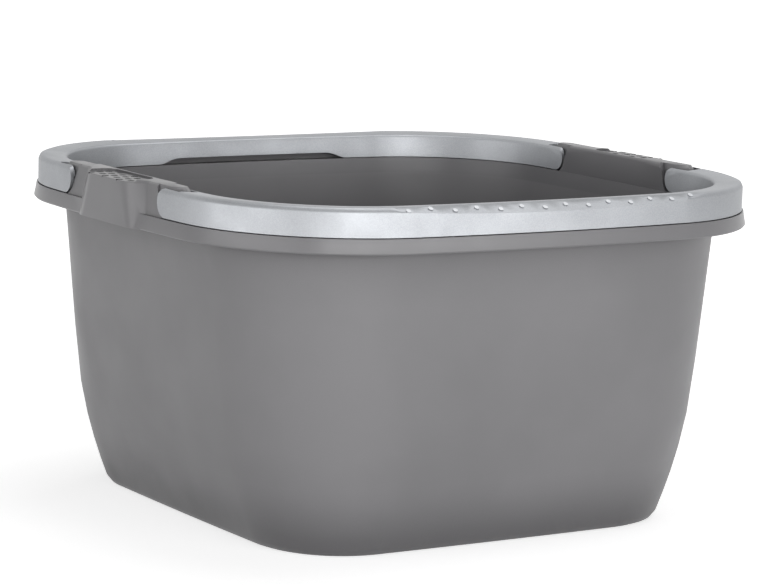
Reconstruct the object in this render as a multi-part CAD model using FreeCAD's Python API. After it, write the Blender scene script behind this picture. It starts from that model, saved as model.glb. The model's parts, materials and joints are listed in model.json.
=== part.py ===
import FreeCAD, Part
import math
import os

# Washing up bowl: a tapered square basin with a skirted rim and two side lugs, and two channel handles
# that lie over the rim and swing up on pegs in the lugs' arms. All sizes are in millimetres. X runs through the
# lugs, Z is up, and the origin is the middle of the base. An offset is measured outwards from the rim's plan.

# Plan of the rim, at the foot of the handles' outer cheeks
rim_half_length = 185.0
rim_half_width = 180.0
rim_side_bow_radius = 1630.0
rim_front_bow_radius = 1120.0
rim_corner_radius = 101.0

# Basin, up to the ledge inside the handles: a curved lower wall that runs into a straight upper wall
basin_height = 186.7
base_half_length = 134.2
base_half_width = 136.5
base_bow_radius = 4800.0
base_corner_radius = 52.4
base_edge_radius = 5.0
floor_thickness = 3.0
floor_edge_radius = 6.0
wall = 2.4
wall_curve_height = 85.0
straight_growth_share = 0.56
wall_level_shares = (0.06, 0.13, 0.21, 0.32, 0.51, 0.75, 1)
ledge_lip = 0.4

# Rim: ledge with a rib under the handles, and a hanging skirt
ledge_step = 1.0
rib_gap = 1.2
skirt_drop = 8.8
skirt_top_reach = 0.9
skirt_reach = 2.6
skirt_foot_radius = 0.9
rim_thickness = 2.2

# Handle: an upside-down channel with a straight grip flat and dots along its outer top edge, and a finger
# cut-out in its inner cheek
handle_width = 17.4
handle_depth = 16.6
handle_top_fall = 1.4
handle_thickness = 2.2
handle_outer_edge_radius = 3.0
handle_inner_edge_radius = 1.6
handle_foot_gap = 0.5
grip_drop = 5.6
grip_width = 8.0
cutout_corner_margin = 21.5
cutout_slope_length = 19.0
cutout_rise = 3.6
dot_count = 14
dot_sides = 8
dot_row_overhang = 11.55
dot_row_spacing = 1.6
dot_radius = 1.5
dot_height = 0.5

# Hinge: pegs on the handle's cheeks in holes through the arms
pivot_corner_margin = 16.5
handle_end_radius = 8.9
handle_end_gap = 0.2
inner_end_gap = 0.3
seat_gap = 0.9
arm_gap = 0.8
arm_reach = 8.6
arm_tip_radius = 3.5
arm_crown_height = 3.2
arm_crown_inset = 0.8
arm_tip_slope_length = 3.8
slot_reach = 12.0
slot_corner_radius = 2.0
peg_radius = 3.0
peg_reach = 3.0
peg_clearance = 0.05

# Side lug, with a level top and a shallow recess in it
lug_rise = 1.0
lug_reach = 4.6
lug_top_setback = 0.8
lug_face_share = 0.472
lug_face_top_share = 0.344
lug_flank_share = 0.68
lug_flank_top_share = 0.568
lug_flank_lean = 5.0
lug_shoulder_setback = 0.2
lug_face_edge_radius = 16.0
lug_flank_foot_radius = 8.0
lug_top_edge_radius = 1.6
lug_inner_step = 0.1
recess_length_share = 0.448
recess_inner_margin = 2.6
recess_corner_radius = 7.0
recess_depth = 1.3

# Extra length of every cutting body, and how many short flats draw a middling and a small round
overrun = 20.0
middle_flat_count = 2
small_flat_count = 1

# Lengths, heights and setbacks that follow from these sizes
front_half_length = rim_half_length - rim_corner_radius
cutout_half_length = front_half_length - cutout_corner_margin
dot_pitch = 2 * (front_half_length + dot_row_overhang) / (dot_count - 1)
pivot_half_spacing = rim_half_width - rim_corner_radius - pivot_corner_margin
outer_ledge_height = basin_height - ledge_step
skirt_height = outer_ledge_height - skirt_drop
handle_outer_foot = outer_ledge_height + handle_foot_gap
handle_inner_foot = basin_height + handle_foot_gap
handle_top = handle_outer_foot + handle_depth
handle_inner_top = handle_top - handle_top_fall
grip_low = handle_top - grip_drop
grip_slope = (grip_drop - handle_top_fall * grip_width / handle_width) / grip_width
wall_setback = handle_width + ledge_lip - wall
rib_outer_setback = (handle_width - rim_thickness) / 2
rib_inner_setback = (handle_width + rim_thickness) / 2
handle_roof = handle_inner_top - handle_thickness
rib_height = handle_roof - rib_gap
pivot_height = outer_ledge_height + handle_end_gap + handle_end_radius
inner_end_radius = pivot_height - basin_height - inner_end_gap
lug_height = handle_top + lug_rise
recess_floor = lug_height - recess_depth

vec = FreeCAD.Vector
up = vec(0, 0, 1)
along_x = vec(1, 0, 0)
along_y = vec(0, 1, 0)


def round_steps(radius, flats):
    """Steps (inset, drop below the top) along a rounded top edge, from where the round starts to its end."""
    if radius == 0:
        return [(0, 0)]
    turns = [math.radians(90) * index / flats for index in range(flats + 1)]
    return [(radius * (1 - math.cos(turn)), radius * (1 - math.sin(turn))) for turn in turns]


def rounded_loop(points):
    """Loop of corners (a, b) or (a, b, radius, flats) as points (a, b), with rounds drawn as short flats."""
    loop = []
    for index, (a, b, *rounding) in enumerate(points):
        if not rounding:
            loop.append((a, b))
            continue
        radius, flats = rounding
        corner = vec(a, b, 0)
        after = points[(index + 1) % len(points)]
        back = (vec(*points[index - 1][:2], 0) - corner).normalize()
        ahead = (vec(*after[:2], 0) - corner).normalize()
        half_angle = back.getAngle(ahead) / 2
        centre = corner + (back + ahead).normalize() * (radius / math.sin(half_angle))
        first = corner + back * (radius / math.tan(half_angle)) - centre
        last = corner + ahead * (radius / math.tan(half_angle)) - centre
        turn = math.pi - 2 * half_angle
        for step in range(flats + 1):
            share = step / flats
            spoke = (first * math.sin((1 - share) * turn) + last * math.sin(share * turn)) * (1 / math.sin(turn))
            loop.append((centre.x + spoke.x, centre.y + spoke.y))
    return loop


def polyline(points):
    """Straight edges through points, left open."""
    return [Part.LineSegment(p, q).toShape() for p, q in zip(points, points[1:])]


def closed_polygon(points):
    """Closed wire of straight edges."""
    return Part.makePolygon(points + points[:1])


def rounded_top(wire_at, bottom, top, edge_radius):
    """Solid from a bottom to a top height whose top edge is rounded; wire_at gives its plan at (height, inset)."""
    wires = [wire_at(bottom, 0)]
    for inset, drop in round_steps(edge_radius, small_flat_count):
        wires.append(wire_at(top - drop, inset))
    return Part.makeLoft(wires, True, True)


def plan_arcs(half_length, half_width, side_bow, front_bow, corner):
    """Eight tangent arcs of a bowed square plan, as (centre x, centre y, radius, start angle, end angle)."""
    side_x = half_length - side_bow
    front_y = half_width - front_bow
    apart = math.hypot(side_x, front_y)
    from_side = side_bow - corner
    from_front = front_bow - corner
    along = (from_side**2 - from_front**2 + apart**2) / (2 * apart)
    across = math.sqrt(from_side**2 - along**2)
    toward_x, toward_y = -side_x / apart, front_y / apart
    corner_x = side_x + along * toward_x - across * toward_y
    corner_y = along * toward_y + across * toward_x
    side_turn = math.atan2(corner_y, corner_x - side_x)
    front_turn = math.atan2(corner_y - front_y, corner_x)
    half_turn = math.pi
    return [
        (side_x, 0, side_bow, -side_turn, side_turn),
        (corner_x, corner_y, corner, side_turn, front_turn),
        (0, front_y, front_bow, front_turn, half_turn - front_turn),
        (-corner_x, corner_y, corner, half_turn - front_turn, half_turn - side_turn),
        (-side_x, 0, side_bow, half_turn - side_turn, half_turn + side_turn),
        (-corner_x, -corner_y, corner, half_turn + side_turn, half_turn + front_turn),
        (0, -front_y, front_bow, half_turn + front_turn, 2 * half_turn - front_turn),
        (corner_x, -corner_y, corner, -front_turn, -side_turn),
    ]


def arc_point(arc, offset, angle, z):
    """Point at an angle on an arc that is offset outwards."""
    centre_x, centre_y, radius = arc[:3]
    reach = radius + offset
    return vec(centre_x + reach * math.cos(angle), centre_y + reach * math.sin(angle), z)


def plan_wire(arcs, z):
    """Closed wire of a plan at one height."""
    edges = []
    for arc in arcs:
        start, end = arc[3:]
        ends = [arc_point(arc, 0, angle, z) for angle in (start, (start + end) / 2, end)]
        edges.append(Part.Arc(*ends).toShape())
    return Part.Wire(edges)


def swept_section(points, arcs):
    """Solid with a section of corners at (offset, height) that runs along tangent plan arcs."""
    loop = rounded_loop(points)
    spans = []
    for arc in arcs:
        centre_x, centre_y, _, start, end = arc
        face = Part.Face(closed_polygon([arc_point(arc, offset, start, z) for offset, z in loop]))
        spans.append(face.revolve(vec(centre_x, centre_y, 0), up, math.degrees(end - start)))
    return spans[0].multiFuse(spans[1:]).removeSplitter()


rim_plan = plan_arcs(rim_half_length, rim_half_width, rim_side_bow_radius, rim_front_bow_radius, rim_corner_radius)


def side_x(y, offset):
    """X of the rim's right side at a given y, offset outwards."""
    reach = rim_side_bow_radius + offset
    return rim_half_length - rim_side_bow_radius + math.sqrt(reach**2 - y**2)


def front_y(x, offset):
    """Distance of the rim's front from the middle at a given x, offset outwards."""
    reach = rim_front_bow_radius + offset
    return rim_half_width - rim_front_bow_radius + math.sqrt(reach**2 - x**2)


def box_between(low, high):
    """Box from its lowest to its highest corner."""
    size = high - low
    return Part.makeBox(size.x, size.y, size.z, low)


def mirrored_pair(shape):
    """A shape and its mirror image across the middle plane between the two lugs."""
    return [shape, shape.mirror(vec(0, 0, 0), along_x)]


# Basin

def wall_growth(z):
    """How far the plan at a height has grown from the base's plan to the mouth's, as a share."""
    from_top = straight_growth_share * (1 - z / basin_height)
    turned_in = (1 - straight_growth_share) * max(0, 1 - z / wall_curve_height)**2
    return 1 - from_top - turned_in


def basin_wire(z, inset):
    """Plan of the basin wall at one height, inset from its outer face."""
    growth = wall_growth(z)
    half_length = base_half_length + growth * (rim_half_length - wall_setback - base_half_length) - inset
    half_width = base_half_width + growth * (rim_half_width - wall_setback - base_half_width) - inset
    corner = base_corner_radius + growth * (rim_corner_radius - wall_setback - base_corner_radius) - inset
    side_bow = 1 / ((1 - growth) / base_bow_radius + growth / (rim_side_bow_radius - wall_setback)) - inset
    front_bow = 1 / ((1 - growth) / base_bow_radius + growth / (rim_front_bow_radius - wall_setback)) - inset
    return plan_wire(plan_arcs(half_length, half_width, side_bow, front_bow, corner), z)


def basin_body(inset, bottom, edge_radius, edge_flats):
    """Solid within the basin wall inset from its outer face, with a rounded bottom edge."""
    edge_steps = reversed(round_steps(edge_radius, edge_flats))
    wires = [basin_wire(bottom + drop, inset + cut) for cut, drop in edge_steps]
    low = bottom + edge_radius
    for level_share in wall_level_shares:
        wires.append(basin_wire(low + (basin_height - low) * level_share, inset))
    return Part.makeLoft(wires, True, True)


def make_basin():
    """Open basin with rounded edges at the base and the floor."""
    outside = basin_body(0, 0, base_edge_radius, middle_flat_count)
    inside = basin_body(wall, floor_thickness, floor_edge_radius, small_flat_count)
    return outside.cut(inside)


def make_rim():
    """Rim that starts in the middle of the basin wall's top: ledge, rib and skirt."""
    wall_middle = wall_setback + wall / 2
    underside = outer_ledge_height - rim_thickness
    section = [
        (-wall_middle, basin_height),
        (-rib_inner_setback, basin_height),
        (-rib_inner_setback, rib_height),
        (-rib_outer_setback, rib_height),
        (-rib_outer_setback, outer_ledge_height),
        (skirt_top_reach, outer_ledge_height),
        (skirt_reach, skirt_height, skirt_foot_radius, small_flat_count),
        (skirt_reach - rim_thickness, skirt_height),
        (skirt_top_reach - rim_thickness, underside),
        (-wall_middle, underside),
    ]
    return swept_section(section, rim_plan)


# Side lug with its two arms, on the right side

seat_radius = handle_end_radius + seat_gap
handle_end = pivot_half_spacing - handle_end_radius
slot_end = pivot_half_spacing + slot_reach
arm_end = pivot_half_spacing + arm_reach
arm_outer_x = side_x(slot_end, -handle_thickness) - arm_gap
arm_inner_x = side_x(handle_end, handle_thickness - handle_width) + arm_gap
lug_inner_offset = lug_inner_step - wall_setback - wall
lug_inner_x = side_x(0, lug_inner_offset)


def lug_wire(z, inset, inner):
    """Plan of the lug at one height: a flat face, flanks swept back to the shoulders, and a bowed inner side."""
    rise = (z - skirt_height) / (lug_height - skirt_height)
    low_shoulder = side_x(pivot_half_spacing, skirt_top_reach) - lug_shoulder_setback
    face_x = rim_half_length + lug_reach - rise * lug_top_setback
    shoulder_x = low_shoulder + rise * (arm_outer_x + arm_gap - low_shoulder)
    face_half = pivot_half_spacing * (lug_face_share + rise * (lug_face_top_share - lug_face_share))
    flank_half = pivot_half_spacing * (lug_flank_share + rise * (lug_flank_top_share - lug_flank_share))
    shift = inset * math.tan(math.atan2(face_x - shoulder_x, flank_half - face_half) / 2)
    half_loop = [
        (side_x(slot_end, inner), -slot_end),
        (shoulder_x - inset, -slot_end),
        (shoulder_x - inset, shift - flank_half, lug_flank_foot_radius, middle_flat_count),
        (face_x - inset, shift - face_half, lug_face_edge_radius, middle_flat_count),
    ]
    loop = half_loop + [(x, -y, *rounding) for x, y, *rounding in reversed(half_loop)]
    points = [vec(x, y, z) for x, y in rounded_loop(loop)]
    inner_side = Part.Arc(points[-1], vec(side_x(0, inner), 0, z), points[0]).toShape()
    return Part.Wire(polyline(points) + [inner_side])


def lug_prism(inset, inner, edge_radius):
    """Lug body inset from its outer faces, with an inner side at an offset from the rim and ends left long."""
    return rounded_top(lambda z, cut: lug_wire(z, inset + cut, inner + cut), skirt_height, lug_height, edge_radius)


def side_profile(loop):
    """Body with a side view given by edges at X zero, long enough to pass through a lug."""
    return Part.Face(Part.Wire(loop)).extrude(along_x * (rim_half_length + overrun))


def side_point(y, z):
    """Point of the side view."""
    return vec(0, y, z)


def seat_arc(radius, side):
    """Points of a quarter circle round a pivot, from below it up to its height, on one side of the lug."""
    points = []
    for turn in (math.pi / 2, math.pi / 4, 0):
        y = pivot_half_spacing - radius * math.cos(turn)
        points.append(side_point(side * y, pivot_height - radius * math.sin(turn)))
    return points


def lug_side_view(radius, top):
    """Side view of the lug: a straight foot, a round seat for each handle's end and flanks that lean in above."""
    right = seat_arc(radius, 1)
    left = seat_arc(radius, -1)
    right_top = side_point(right[2].y - lug_flank_lean, top)
    left_top = side_point(left[2].y + lug_flank_lean, top)
    loop = [Part.Arc(*right).toShape()]
    loop += polyline([right[2], right_top, left_top, left[2]])
    loop.append(Part.Arc(*reversed(left)).toShape())
    loop += polyline([left[0], side_point(left[0].y, skirt_height), side_point(right[0].y, skirt_height), right[0]])
    return side_profile(loop)


def make_lug():
    """Outside of the lug, with its top edges rounded."""
    return lug_prism(0, lug_inner_offset, lug_top_edge_radius).common(lug_side_view(seat_radius, lug_height))


def make_lug_hollow():
    """Hollow of the lug, open below, one rim thickness inside its outer faces."""
    body = lug_prism(rim_thickness, -wall_setback, 0)
    return body.common(lug_side_view(seat_radius + rim_thickness, recess_floor - rim_thickness))


def arm_wire(z, inset, tip_inset):
    """Plan of both arms, at one height, as one bar with rounded tips."""
    end = arm_end - tip_inset
    loop = [(x, y, arm_tip_radius, small_flat_count) for x, y in (
        (arm_inner_x + inset, -end),
        (arm_outer_x - inset, -end),
        (arm_outer_x - inset, end),
        (arm_inner_x + inset, end),
    )]
    return closed_polygon([vec(x, y, z) for x, y in rounded_loop(loop)])


def make_arms():
    """Arms: solid bars that carry the lug's top on over the pivots, with crowns that slope down to the tips."""
    low = arm_wire(skirt_height + rim_thickness, 0, 0)
    crown = arm_wire(lug_height - arm_crown_height, 0, 0)
    top = arm_wire(lug_height, arm_crown_inset, arm_tip_slope_length)
    return Part.makeLoft([low, crown, top], True, True)


def make_recess():
    """Recess in the lug's top with a level floor, open along the outer face and round in its inner corners."""
    half_length = pivot_half_spacing * recess_length_share
    outer_x = rim_half_length + lug_reach
    inner_x = lug_inner_x + recess_inner_margin
    loop = [
        (outer_x, -half_length),
        (outer_x, half_length),
        (inner_x, half_length, recess_corner_radius, middle_flat_count),
        (inner_x, -half_length, recess_corner_radius, middle_flat_count),
    ]
    floor = closed_polygon([vec(x, y, recess_floor) for x, y in rounded_loop(loop)])
    return Part.Face(floor).extrude(up * overrun)


def make_peg_holes():
    """Peg holes across both arms."""
    length = arm_outer_x - arm_inner_x + overrun
    radius = peg_radius + peg_clearance
    holes = []
    for side in (1, -1):
        start = vec(arm_inner_x - overrun / 2, side * pivot_half_spacing, pivot_height)
        holes.append(Part.makeCylinder(radius, length, start, along_x))
    return holes


def make_bowl():
    """Basin, rim, lugs and arms as one moulding."""
    added = [make_rim()]
    added += mirrored_pair(make_lug())
    added += mirrored_pair(make_arms())
    bowl = make_basin().multiFuse(added)
    removed = mirrored_pair(make_lug_hollow()) + mirrored_pair(make_recess())
    for hole in make_peg_holes():
        removed += mirrored_pair(hole)
    return bowl.cut(removed).removeSplitter()


# Handles

def handle_section():
    """Section of the handle's channel, as corners at (offset, height); its inside leaves room for the grip flat."""
    channel_edge = grip_low + handle_thickness * (grip_slope - math.hypot(1, grip_slope))
    roof_setback = handle_thickness + (handle_roof - channel_edge) / grip_slope
    return [
        (0, handle_outer_foot),
        (0, handle_top, handle_outer_edge_radius, middle_flat_count),
        (-handle_width, handle_inner_top, handle_inner_edge_radius, small_flat_count),
        (-handle_width, handle_inner_foot),
        (handle_thickness - handle_width, handle_inner_foot),
        (handle_thickness - handle_width, handle_roof),
        (-roof_setback, handle_roof),
        (-handle_thickness, channel_edge),
        (-handle_thickness, handle_outer_foot),
    ]


def front_half_arcs():
    """Arcs of the rim's plan from the middle of its left side round the front to the middle of its right side."""
    left, front_left, front, front_right = rim_plan[4:]
    right = rim_plan[0]
    left_half = (*left[:3], math.pi, left[4])
    right_half = (*right[:3], right[3], 0)
    return [left_half, front_left, front, front_right, right_half]


def end_trim():
    """What is cut from the right end of the front handle, so that its cheeks end in rounds about the pivot."""
    middle_x = (arm_inner_x + arm_outer_x) / 2
    far_x = rim_half_length + overrun
    near_x = arm_inner_x - overrun
    low = outer_ledge_height - overrun
    high = handle_top + overrun
    block = box_between(vec(near_x, -pivot_half_spacing, low), vec(far_x, overrun, high))
    pivot = vec(middle_x, -pivot_half_spacing, pivot_height)
    outer_round = Part.makeCylinder(handle_end_radius, far_x - middle_x, pivot, along_x)
    inner_round = Part.makeCylinder(inner_end_radius, middle_x - near_x, pivot, -along_x)
    return block.cut([outer_round, inner_round])


def slot_block():
    """Slot in the handle's top that clears the arm, on the right end of the front handle."""
    low = vec(arm_inner_x - arm_gap, -slot_end, outer_ledge_height)
    high = vec(arm_outer_x + arm_gap, overrun, handle_top + overrun)
    block = box_between(low, high)
    corners = [e for e in block.Edges if e.BoundBox.ZLength > overrun and e.CenterOfMass.y < 0]
    return block.makeFillet(slot_corner_radius, corners)


def make_pegs():
    """Outer and inner peg at the right end of the front handle, from the cheeks into the arm."""
    outer_start = side_x(pivot_half_spacing, -handle_thickness / 2)
    inner_start = side_x(pivot_half_spacing, handle_thickness / 2 - handle_width)
    outer_length = outer_start - arm_outer_x + peg_reach
    inner_length = arm_inner_x + peg_reach - inner_start
    return [
        Part.makeCylinder(peg_radius, outer_length, vec(outer_start, -pivot_half_spacing, pivot_height), -along_x),
        Part.makeCylinder(peg_radius, inner_length, vec(inner_start, -pivot_half_spacing, pivot_height), along_x),
    ]


def finger_cutout():
    """Long cut-out along the foot of the inner cheek, with ends that slope up in two tangent curves."""
    low = handle_inner_foot - handle_foot_gap
    high = handle_inner_foot + cutout_rise
    middle = (low + high) / 2
    y = -front_y(0, 0) + handle_width - handle_thickness - arm_gap
    radius = (cutout_slope_length**2 + (high - low)**2) / (4 * (high - low))
    quarter = math.asin(cutout_slope_length / 2 / radius) / 2
    bend_x = radius * math.sin(quarter)
    bend_z = radius * (1 - math.cos(quarter))
    outer_x = cutout_half_length + cutout_slope_length / 2
    inner_x = cutout_half_length - cutout_slope_length / 2
    loop = []
    for side in (1, -1):
        foot = vec(side * outer_x, y, low)
        foot_bend = vec(side * (outer_x - bend_x), y, low + bend_z)
        centre = vec(side * cutout_half_length, y, middle)
        head_bend = vec(side * (inner_x + bend_x), y, high - bend_z)
        head = vec(side * inner_x, y, high)
        loop.append(Part.Arc(foot, foot_bend, centre).toShape())
        loop.append(Part.Arc(centre, head_bend, head).toShape())
    loop.append(Part.LineSegment(vec(inner_x, y, high), vec(-inner_x, y, high)).toShape())
    loop.append(Part.LineSegment(vec(-outer_x, y, low), vec(outer_x, y, low)).toShape())
    return Part.Face(Part.Wire(Part.__sortEdges__(loop))).extrude(along_y * overrun)


def grip_wedge():
    """What the straight grip flat takes from the outer top edge of the front handle; it runs out at the corners."""
    low_y = -rim_half_width - overrun
    high_y = -rim_half_width + grip_width + overrun
    low_z = grip_low - grip_slope * overrun
    high_z = grip_low + grip_slope * (grip_width + overrun)
    x = -rim_half_length
    face = Part.Face(closed_polygon([vec(x, low_y, low_z), vec(x, high_y, high_z), vec(x, low_y, high_z)]))
    return face.extrude(along_x * (2 * rim_half_length))


def grip_dots():
    """Two staggered rows of low round dots along the middle of the grip flat."""
    tilt = math.atan(grip_slope)
    across = vec(0, math.cos(tilt), math.sin(tilt))
    normal = vec(0, -math.sin(tilt), math.cos(tilt))
    turns = [math.tau * index / dot_sides for index in range(dot_sides)]
    dots = []
    for index in range(dot_count):
        x = (index - (dot_count - 1) / 2) * dot_pitch
        low_setback = rim_half_width - front_y(x, 0)
        setback = (low_setback + grip_width) / 2 + dot_row_spacing * (index % 2 - 1 / 2)
        foot = vec(x, setback - rim_half_width, grip_low + grip_slope * setback) - normal * dot_height
        ring = [foot + (along_x * math.cos(turn) + across * math.sin(turn)) * dot_radius for turn in turns]
        dots.append(Part.Face(closed_polygon(ring)).extrude(normal * (2 * dot_height)))
    return dots


def make_front_handle():
    """Channel along the front half of the rim: rounded ends, slots for the arms, pegs, grip flat, cut-out, dots."""
    handle = swept_section(handle_section(), front_half_arcs())
    removed = mirrored_pair(end_trim()) + mirrored_pair(slot_block())
    handle = handle.cut(removed + [finger_cutout(), grip_wedge()])
    pegs = []
    for peg in make_pegs():
        pegs += mirrored_pair(peg)
    return handle.multiFuse(pegs + grip_dots()).removeSplitter()


os.makedirs("parts", exist_ok=True)
front_handle = make_front_handle()
rear_handle = front_handle.copy()
rear_handle.rotate(vec(0, 0, 0), up, 180)
nodes = {"bowl": make_bowl(), "front_handle": front_handle, "rear_handle": rear_handle}
for name, shape in nodes.items():
    box = shape.BoundBox
    print(name, shape.ShapeType, len(shape.Solids), "solids", shape.isValid(), round(shape.Volume), "mm3",
          [round(v, 2) for v in (box.XMin, box.YMin, box.ZMin, box.XMax, box.YMax, box.ZMax)])
    shape.exportStep(f"parts/{name}.step")
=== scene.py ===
import bpy
import json
import math
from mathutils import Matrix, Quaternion, Vector

# Washing up bowl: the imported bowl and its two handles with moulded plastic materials, on a pale floor.
# Everything is in metres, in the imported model's frame: X through the side lugs, Z up.
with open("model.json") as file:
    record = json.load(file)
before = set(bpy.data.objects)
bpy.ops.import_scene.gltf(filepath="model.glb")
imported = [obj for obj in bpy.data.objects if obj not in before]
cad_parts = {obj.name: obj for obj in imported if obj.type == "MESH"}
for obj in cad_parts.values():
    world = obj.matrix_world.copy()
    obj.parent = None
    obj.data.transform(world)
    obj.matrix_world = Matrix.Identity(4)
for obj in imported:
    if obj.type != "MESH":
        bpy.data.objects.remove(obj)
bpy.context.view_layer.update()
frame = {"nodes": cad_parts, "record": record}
scene = bpy.context.scene

# Camera, as seen from the photograph's viewpoint
image_width_px = 780
focal_length_px = 3208.7
camera_aim = Vector((0.0015, -0.0015, 0.1254))
camera_distance = 1.935
camera_heading = math.radians(57.77)
camera_fall = math.radians(8.753)
camera_roll = math.radians(1.75)
camera_shift_share = 0.0041

# Colours of the two plastics, linear
bowl_light = (0.228, 0.224, 0.232, 1)
bowl_dark = (0.204, 0.201, 0.208, 1)
# Painted shade on the rim above the skirt's foot
rim_painted_shade = (0.186, 0.183, 0.191, 1)
bowl_scuff = (0.330, 0.326, 0.330, 1)
# Painted shade, laid into the colour in creases
bowl_painted_crease_shade = (0.085, 0.083, 0.087, 1)
silver_light = (0.385, 0.396, 0.415, 1)
silver_dark = (0.290, 0.299, 0.314, 1)
# Painted highlight on the grip's dots
dot_painted_highlight = (0.480, 0.490, 0.508, 1)

# Range of a noise that is spread over its marks
noise_range = (0.3, 0.7)

# Bowl: cloudy colour, a moulded grain over long waves, and patches that are a little rougher
cloud_size = 0.09
cloud_range = (0.35, 0.65)
grain_size = 0.0011
grain_depth = 0.00002
wave_size = 0.07
wave_depth = 0.0003
bowl_patch_size = 0.03
bowl_roughness = (0.42, 0.52)
bowl_refraction = 1.49

# Scuffs on the lowest part of the wall
scuff_height = 0.012
scuff_size = 0.004
scuff_range = (0.5, 0.72)
scuff_share = 0.6

# Painted shade: creases such as the one under the skirt are painted darker, up to this far from the next
# surface
crease_reach = 0.040
crease_range = (0.45, 0.95)
crease_share = 0.75
crease_samples = 8

# The rim is painted darker, as shade, and is glossier than the wall below its skirt
skirt_foot = 0.1766
skirt_blend = 0.0008
rim_painted_shade_share = 0.8
rim_gloss = 0.13

# Silver: fine flakes in a cloudy skin
flake_size = 0.0004
flake_share = 0.5
silver_cloud_size = 0.05
silver_cloud_share = 0.5
silver_patch_size = 0.02
silver_roughness = (0.40, 0.50)
silver_metallic = 0.8
skin_size = 0.0009
skin_depth = 0.000005

# The grip flat is the plane where a handle's height plus this slope times its distance from the middle
# reaches this level; what stands above it there is a dot, which is painted brighter as a highlight
grip_slope = 0.6195
grip_level = 0.30872
dot_clear = 0.0002
dot_blend = 0.0001

# Moulding draft of the handles' cheeks, which the solids leave out, as a share of the normal
cheek_lean = 0.08

# Dimples in the recess on top of each side lug: rows across the lug, every second one set over by half a step
recess_floor = 0.2025
dimple_radius = 0.0022
dimple_depth = 0.0009
dimple_step = 0.0056
dimple_first_x = 0.1727
dimple_row_step = 0.0088
dimple_rows = 6
dimples_in_row = 3
dimple_flats = 20

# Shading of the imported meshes: vertices closer than this are one, and sharper edges stay sharp
weld_distance = 0.00002
sharp_edge_angle = math.radians(52)

# Surroundings: how much they light the object, and their tone from the horizon up to overhead
world_light = 0.12
horizon_rise = 0.15
overhead_rise = 0.75
overhead_tone = 0.9

# Floor: it shows as white from a distance round the bowl, and darker near it
floor_half_size = 30.0
floor_tone = (0.86, 0.86, 0.86, 1)
floor_roughness = 0.9
shadow_reach = 0.25
white_reach = 1.2
near_glow = 0.68


def smooth_by_angle():
    """Geometry nodes that shade a mesh smooth except across its sharp edges."""
    group = bpy.data.node_groups.new("smooth_by_angle", "GeometryNodeTree")
    group.interface.new_socket("Geometry", in_out="INPUT", socket_type="NodeSocketGeometry")
    group.interface.new_socket("Geometry", in_out="OUTPUT", socket_type="NodeSocketGeometry")
    start = group.nodes.new("NodeGroupInput")
    end = group.nodes.new("NodeGroupOutput")
    drop = group.nodes.new("GeometryNodeRemoveAttribute")
    drop.inputs["Name"].default_value = "custom_normal"
    faces = group.nodes.new("GeometryNodeSetShadeSmooth")
    angle = group.nodes.new("GeometryNodeInputMeshEdgeAngle")
    sharp = group.nodes.new("FunctionNodeCompare")
    sharp.operation = "GREATER_THAN"
    sharp.inputs[1].default_value = sharp_edge_angle
    edges = group.nodes.new("GeometryNodeSetShadeSmooth")
    edges.domain = "EDGE"
    edges.inputs["Shade Smooth"].default_value = False
    link = group.links.new
    link(start.outputs[0], drop.inputs["Geometry"])
    link(drop.outputs["Geometry"], faces.inputs["Geometry"])
    link(faces.outputs["Geometry"], edges.inputs["Geometry"])
    link(angle.outputs["Unsigned Angle"], sharp.inputs[0])
    link(sharp.outputs["Result"], edges.inputs["Selection"])
    link(edges.outputs["Geometry"], end.inputs[0])
    return group


def dimple_centres():
    """Middle of every dimple, on both lugs."""
    centres = []
    for side in (-1, 1):
        for row in range(dimple_rows):
            y = (row - (dimple_rows - 1) / 2) * dimple_row_step
            shift = row % 2 / 2
            for place in range(dimples_in_row):
                centres.append((side * (dimple_first_x + (place + shift) * dimple_step), y))
    return centres


def dimple_cutter():
    """Short cylinders, hidden, that sink the dimples into the floors of both lug recesses."""
    turns = [math.tau * index / dimple_flats for index in range(dimple_flats)]
    circle = [(dimple_radius * math.cos(turn), dimple_radius * math.sin(turn)) for turn in turns]
    points = []
    faces = []
    for x, y in dimple_centres():
        low = list(range(len(points), len(points) + dimple_flats))
        high = [index + dimple_flats for index in low]
        for z in (recess_floor - dimple_depth, recess_floor + dimple_depth):
            points += [(x + dx, y + dy, z) for dx, dy in circle]
        faces += [low[::-1], high]
        for index in range(dimple_flats):
            following = index - dimple_flats + 1
            faces.append((low[index], low[following], high[following], high[index]))
    mesh = bpy.data.meshes.new("dimple_cutter")
    mesh.from_pydata(points, [], faces)
    cutter = bpy.data.objects.new("dimple_cutter", mesh)
    cutter.hide_render = True
    scene.collection.objects.link(cutter)
    return cutter


def smooth(obj, group, cutter=None):
    """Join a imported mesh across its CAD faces, cut it, and shade it by face area, so that flats stay flat."""
    weld = obj.modifiers.new("weld", "WELD")
    weld.merge_threshold = weld_distance
    if cutter is not None:
        cut = obj.modifiers.new("dimples", "BOOLEAN")
        cut.operation = "DIFFERENCE"
        cut.solver = "EXACT"
        cut.object = cutter
    obj.modifiers.new("smooth_by_angle", "NODES").node_group = group
    normals = obj.modifiers.new("weighted_normals", "WEIGHTED_NORMAL")
    normals.mode = "FACE_AREA_WITH_ANGLE"
    normals.keep_sharp = True


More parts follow.
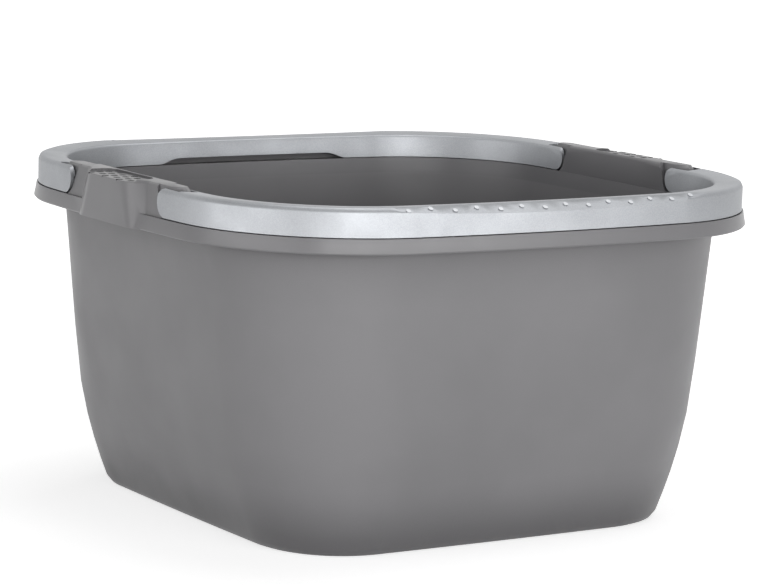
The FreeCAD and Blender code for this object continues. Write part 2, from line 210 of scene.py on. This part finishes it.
class Shader:
    """The nodes of a material or world, with short calls for those that are needed."""

    def __init__(self, owner):
        owner.use_nodes = True
        self.owner = owner
        self.nodes = owner.node_tree.nodes
        self.link = owner.node_tree.links.new
        self.coordinates = self.nodes.new("ShaderNodeTexCoord").outputs

    def surface(self, name):
        """An input of the material's own shader."""
        return self.nodes["Principled BSDF"].inputs[name]

    def axes(self, vector):
        """The X, Y and Z of a vector."""
        node = self.nodes.new("ShaderNodeSeparateXYZ")
        self.link(vector, node.inputs["Vector"])
        return node.outputs

    def noise(self, size, detail=2.0, roughness=0.5):
        """Noise with features of a size in metres."""
        node = self.nodes.new("ShaderNodeTexNoise")
        node.inputs["Scale"].default_value = 1 / size
        node.inputs["Detail"].default_value = detail
        node.inputs["Roughness"].default_value = roughness
        self.link(self.coordinates["Object"], node.inputs["Vector"])
        return node.outputs["Fac"]

    def ramp(self, value, spread, result=(0.0, 1.0)):
        """Map a value's range to a resulting range, clamped."""
        node = self.nodes.new("ShaderNodeMapRange")
        for name, number in zip(("From Min", "From Max", "To Min", "To Max"), spread + result):
            node.inputs[name].default_value = number
        self.link(value, node.inputs["Value"])
        return node.outputs["Result"]

    def math(self, operation, first, second):
        """Two values, or a value and a number, joined by a math operation."""
        node = self.nodes.new("ShaderNodeMath")
        node.operation = operation
        for socket, value in zip(node.inputs, (first, second)):
            if isinstance(value, (int, float)):
                socket.default_value = value
            else:
                self.link(value, socket)
        return node.outputs["Value"]

    def mix(self, share, first, second):
        """Two colours, or a colour output and a colour, mixed by a share."""
        node = self.nodes.new("ShaderNodeMix")
        node.data_type = "RGBA"
        self.link(share, node.inputs["Factor"])
        sockets = [socket for socket in node.inputs if socket.type == "RGBA"]
        for socket, colour in zip(sockets, (first, second)):
            if isinstance(colour, tuple):
                socket.default_value = colour
            else:
                self.link(colour, socket)
        return [socket for socket in node.outputs if socket.type == "RGBA"][0]

    def creases(self):
        """Share of painted crease shade: one in creases that are near to other surfaces, none in the open."""
        node = self.nodes.new("ShaderNodeAmbientOcclusion")
        node.samples = crease_samples
        node.inputs["Distance"].default_value = crease_reach
        return self.ramp(node.outputs["AO"], crease_range, (1.0, 0.0))

    def leaning(self, lean):
        """The surface's normals, leant towards the piece's own top as on a wall with draft."""
        tilt = self.nodes.new("ShaderNodeVectorMath")
        tilt.operation = "ADD"
        tilt.inputs[1].default_value = (0, 0, lean)
        self.link(self.coordinates["Normal"], tilt.inputs[0])
        turn = self.nodes.new("ShaderNodeVectorTransform")
        turn.vector_type = "NORMAL"
        turn.convert_from = "OBJECT"
        turn.convert_to = "WORLD"
        self.link(tilt.outputs["Vector"], turn.inputs["Vector"])
        return turn.outputs["Vector"]

    def bump(self, height, depth, under=None):
        """Bump of a depth in metres, over other normals."""
        node = self.nodes.new("ShaderNodeBump")
        node.inputs["Strength"].default_value = 1.0
        node.inputs["Distance"].default_value = depth
        self.link(height, node.inputs["Height"])
        if under is not None:
            self.link(under, node.inputs["Normal"])
        return node.outputs["Normal"]

    def seen_rays(self):
        """One for the rays that show the background: camera, glossy and transmission rays."""
        rays = self.nodes.new("ShaderNodeLightPath").outputs
        seen = self.math("MAXIMUM", rays["Is Camera Ray"], rays["Is Glossy Ray"])
        return self.math("MAXIMUM", seen, rays["Is Transmission Ray"])


def bowl_material():
    """Grey satin polypropylene with a fine moulded grain, faint flow marks and scuffs near the base, with shade
    painted into creases and a rim painted darker.
    """
    shader = Shader(bpy.data.materials.new("bowl_grey_plastic"))
    height = shader.axes(shader.coordinates["Object"])["Z"]
    cloud = shader.ramp(shader.noise(cloud_size, detail=3), cloud_range)
    colour = shader.mix(cloud, bowl_dark, bowl_light)
    rim = shader.ramp(height, (skirt_foot, skirt_foot + skirt_blend))
    # Painted shade: the rim above the skirt's foot is darkened in the colour
    colour = shader.mix(shader.math("MULTIPLY", rim, rim_painted_shade_share), colour, rim_painted_shade)
    low = shader.ramp(height, (0.0, scuff_height), (1.0, 0.0))
    scratches = shader.ramp(shader.noise(scuff_size, detail=6, roughness=0.7), scuff_range)
    scuff = shader.math("MULTIPLY", shader.math("MULTIPLY", low, scratches), scuff_share)
    colour = shader.mix(scuff, colour, bowl_scuff)
    # Painted shade: creases are darkened in the colour
    colour = shader.mix(shader.math("MULTIPLY", shader.creases(), crease_share), colour, bowl_painted_crease_shade)
    shader.link(colour, shader.surface("Base Color"))
    patches = shader.ramp(shader.noise(bowl_patch_size, detail=4), noise_range, bowl_roughness)
    gloss = shader.math("MULTIPLY", rim, rim_gloss)
    shader.link(shader.math("SUBTRACT", patches, gloss), shader.surface("Roughness"))
    waves = shader.bump(shader.noise(wave_size, detail=1), wave_depth)
    grain = shader.bump(shader.noise(grain_size, detail=3), grain_depth, under=waves)
    shader.link(grain, shader.surface("Normal"))
    shader.surface("IOR").default_value = bowl_refraction
    return shader.owner


def silver_material():
    """Silver pearl polypropylene: fine flakes in a satin grey skin, with the grip's dots painted brighter as a
    highlight.
    """
    shader = Shader(bpy.data.materials.new("handle_silver_plastic"))
    flakes = shader.nodes.new("ShaderNodeTexVoronoi")
    flakes.inputs["Scale"].default_value = 1 / flake_size
    shader.link(shader.coordinates["Object"], flakes.inputs["Vector"])
    tone = shader.nodes.new("ShaderNodeSeparateColor")
    shader.link(flakes.outputs["Color"], tone.inputs["Color"])
    sparkle = shader.math("MULTIPLY", tone.outputs["Red"], flake_share)
    cloud = shader.ramp(shader.noise(silver_cloud_size, detail=2), noise_range)
    cloud = shader.math("MULTIPLY", cloud, silver_cloud_share)
    colour = shader.mix(shader.math("ADD", sparkle, cloud), silver_dark, silver_light)
    axes = shader.axes(shader.coordinates["Object"])
    across = shader.math("ABSOLUTE", axes["Y"], 0)
    level = shader.math("ADD", axes["Z"], shader.math("MULTIPLY", across, grip_slope))
    # Painted highlight: the dots standing above the grip flat are lightened in the colour
    dots = shader.ramp(level, (grip_level + dot_clear, grip_level + dot_clear + dot_blend))
    shader.link(shader.mix(dots, colour, dot_painted_highlight), shader.surface("Base Color"))
    patches = shader.ramp(shader.noise(silver_patch_size, detail=3), noise_range, silver_roughness)
    shader.link(patches, shader.surface("Roughness"))
    skin = shader.bump(shader.noise(skin_size, detail=2), skin_depth, under=shader.leaning(cheek_lean))
    shader.link(skin, shader.surface("Normal"))
    shader.surface("Metallic").default_value = silver_metallic
    return shader.owner


def add_camera():
    """The camera at the photograph's viewpoint."""
    direction = Vector((
        math.cos(camera_heading) * math.cos(camera_fall),
        math.sin(camera_heading) * math.cos(camera_fall),
        -math.sin(camera_fall),
    ))
    data = bpy.data.cameras.new("camera")
    data.lens = focal_length_px * data.sensor_width / image_width_px
    data.shift_x = camera_shift_share
    camera = bpy.data.objects.new("camera", data)
    camera.location = camera_aim - direction * camera_distance
    camera.rotation_mode = "QUATERNION"
    level = direction.to_track_quat("-Z", "Y")
    camera.rotation_quaternion = level @ Quaternion((0, 0, 1), camera_roll)
    scene.collection.objects.link(camera)
    return camera


def area_light(name, place, width, height, power, aim=Vector((0, 0, 0.1))):
    """Soft light of a width and height in metres and a power in watts at a place, turned to an aim."""
    data = bpy.data.lights.new(name, "AREA")
    data.shape = "RECTANGLE"
    data.size = width
    data.size_y = height
    data.energy = power
    light = bpy.data.objects.new(name, data)
    light.location = place
    light.rotation_mode = "QUATERNION"
    light.rotation_quaternion = (aim - light.location).to_track_quat("-Z", "Y")
    scene.collection.objects.link(light)


def studio_world():
    """White surroundings at the horizon, greyer overhead, that light the object only softly."""
    shader = Shader(bpy.data.worlds.new("studio"))
    background = shader.nodes["Background"].inputs
    rise = shader.axes(shader.coordinates["Generated"])["Z"]
    tone = shader.ramp(rise, (horizon_rise, overhead_rise), (1.0, overhead_tone))
    colour = shader.nodes.new("ShaderNodeCombineColor")
    for name in ("Red", "Green", "Blue"):
        shader.link(tone, colour.inputs[name])
    shader.link(colour.outputs["Color"], background["Color"])
    strength = shader.ramp(shader.seen_rays(), (0, 1), (world_light, 1))
    shader.link(strength, background["Strength"])
    return shader.owner


def floor_material():
    """White floor: it glows to the camera and in reflections, least near the bowl, which leaves a shadow."""
    shader = Shader(bpy.data.materials.new("floor_white"))
    shader.surface("Base Color").default_value = floor_tone
    shader.surface("Roughness").default_value = floor_roughness
    shader.surface("Specular IOR Level").default_value = 0
    distance = shader.nodes.new("ShaderNodeVectorMath")
    distance.operation = "LENGTH"
    shader.link(shader.coordinates["Object"], distance.inputs[0])
    glow = shader.ramp(distance.outputs["Value"], (shadow_reach, white_reach), (near_glow, 1))
    shader.surface("Emission Color").default_value = (1, 1, 1, 1)
    shader.link(shader.math("MULTIPLY", glow, shader.seen_rays()), shader.surface("Emission Strength"))
    return shader.owner


def add_floor():
    """A large level floor under the bowl."""
    mesh = bpy.data.meshes.new("floor")
    half = floor_half_size
    corners = [(-half, -half, 0), (half, -half, 0), (half, half, 0), (-half, half, 0)]
    mesh.from_pydata(corners, [], [(0, 1, 2, 3)])
    mesh.materials.append(floor_material())
    floor = bpy.data.objects.new("floor", mesh)
    scene.collection.objects.link(floor)
    return floor


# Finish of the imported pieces
group = smooth_by_angle()
materials = {"bowl_grey": bowl_material(), "handle_silver": silver_material()}
cutters = {"bowl": dimple_cutter()}
for part in frame["record"]["subparts"]:
    node = frame["nodes"][part["node"]]
    smooth(node, group, cutters.get(part["node"]))
    node.data.materials.clear()
    node.data.materials.append(materials[part["material_slot"]])

# Camera and soft studio light: one wide, low key from the front, a weaker fill from the left and a top light
scene.camera = add_camera()
area_light("key", Vector((-0.15, -2.3, 0.44)), width=3.4, height=0.64, power=36)
area_light("fill", Vector((-2.3, -0.2, 0.44)), width=2.4, height=0.64, power=15)
area_light("top", Vector((0.6, 0.2, 2.3)), width=1.8, height=1.8, power=20)

# Surroundings and floor
scene.world = studio_world()
scene.view_settings.view_transform = "Standard"
add_floor()
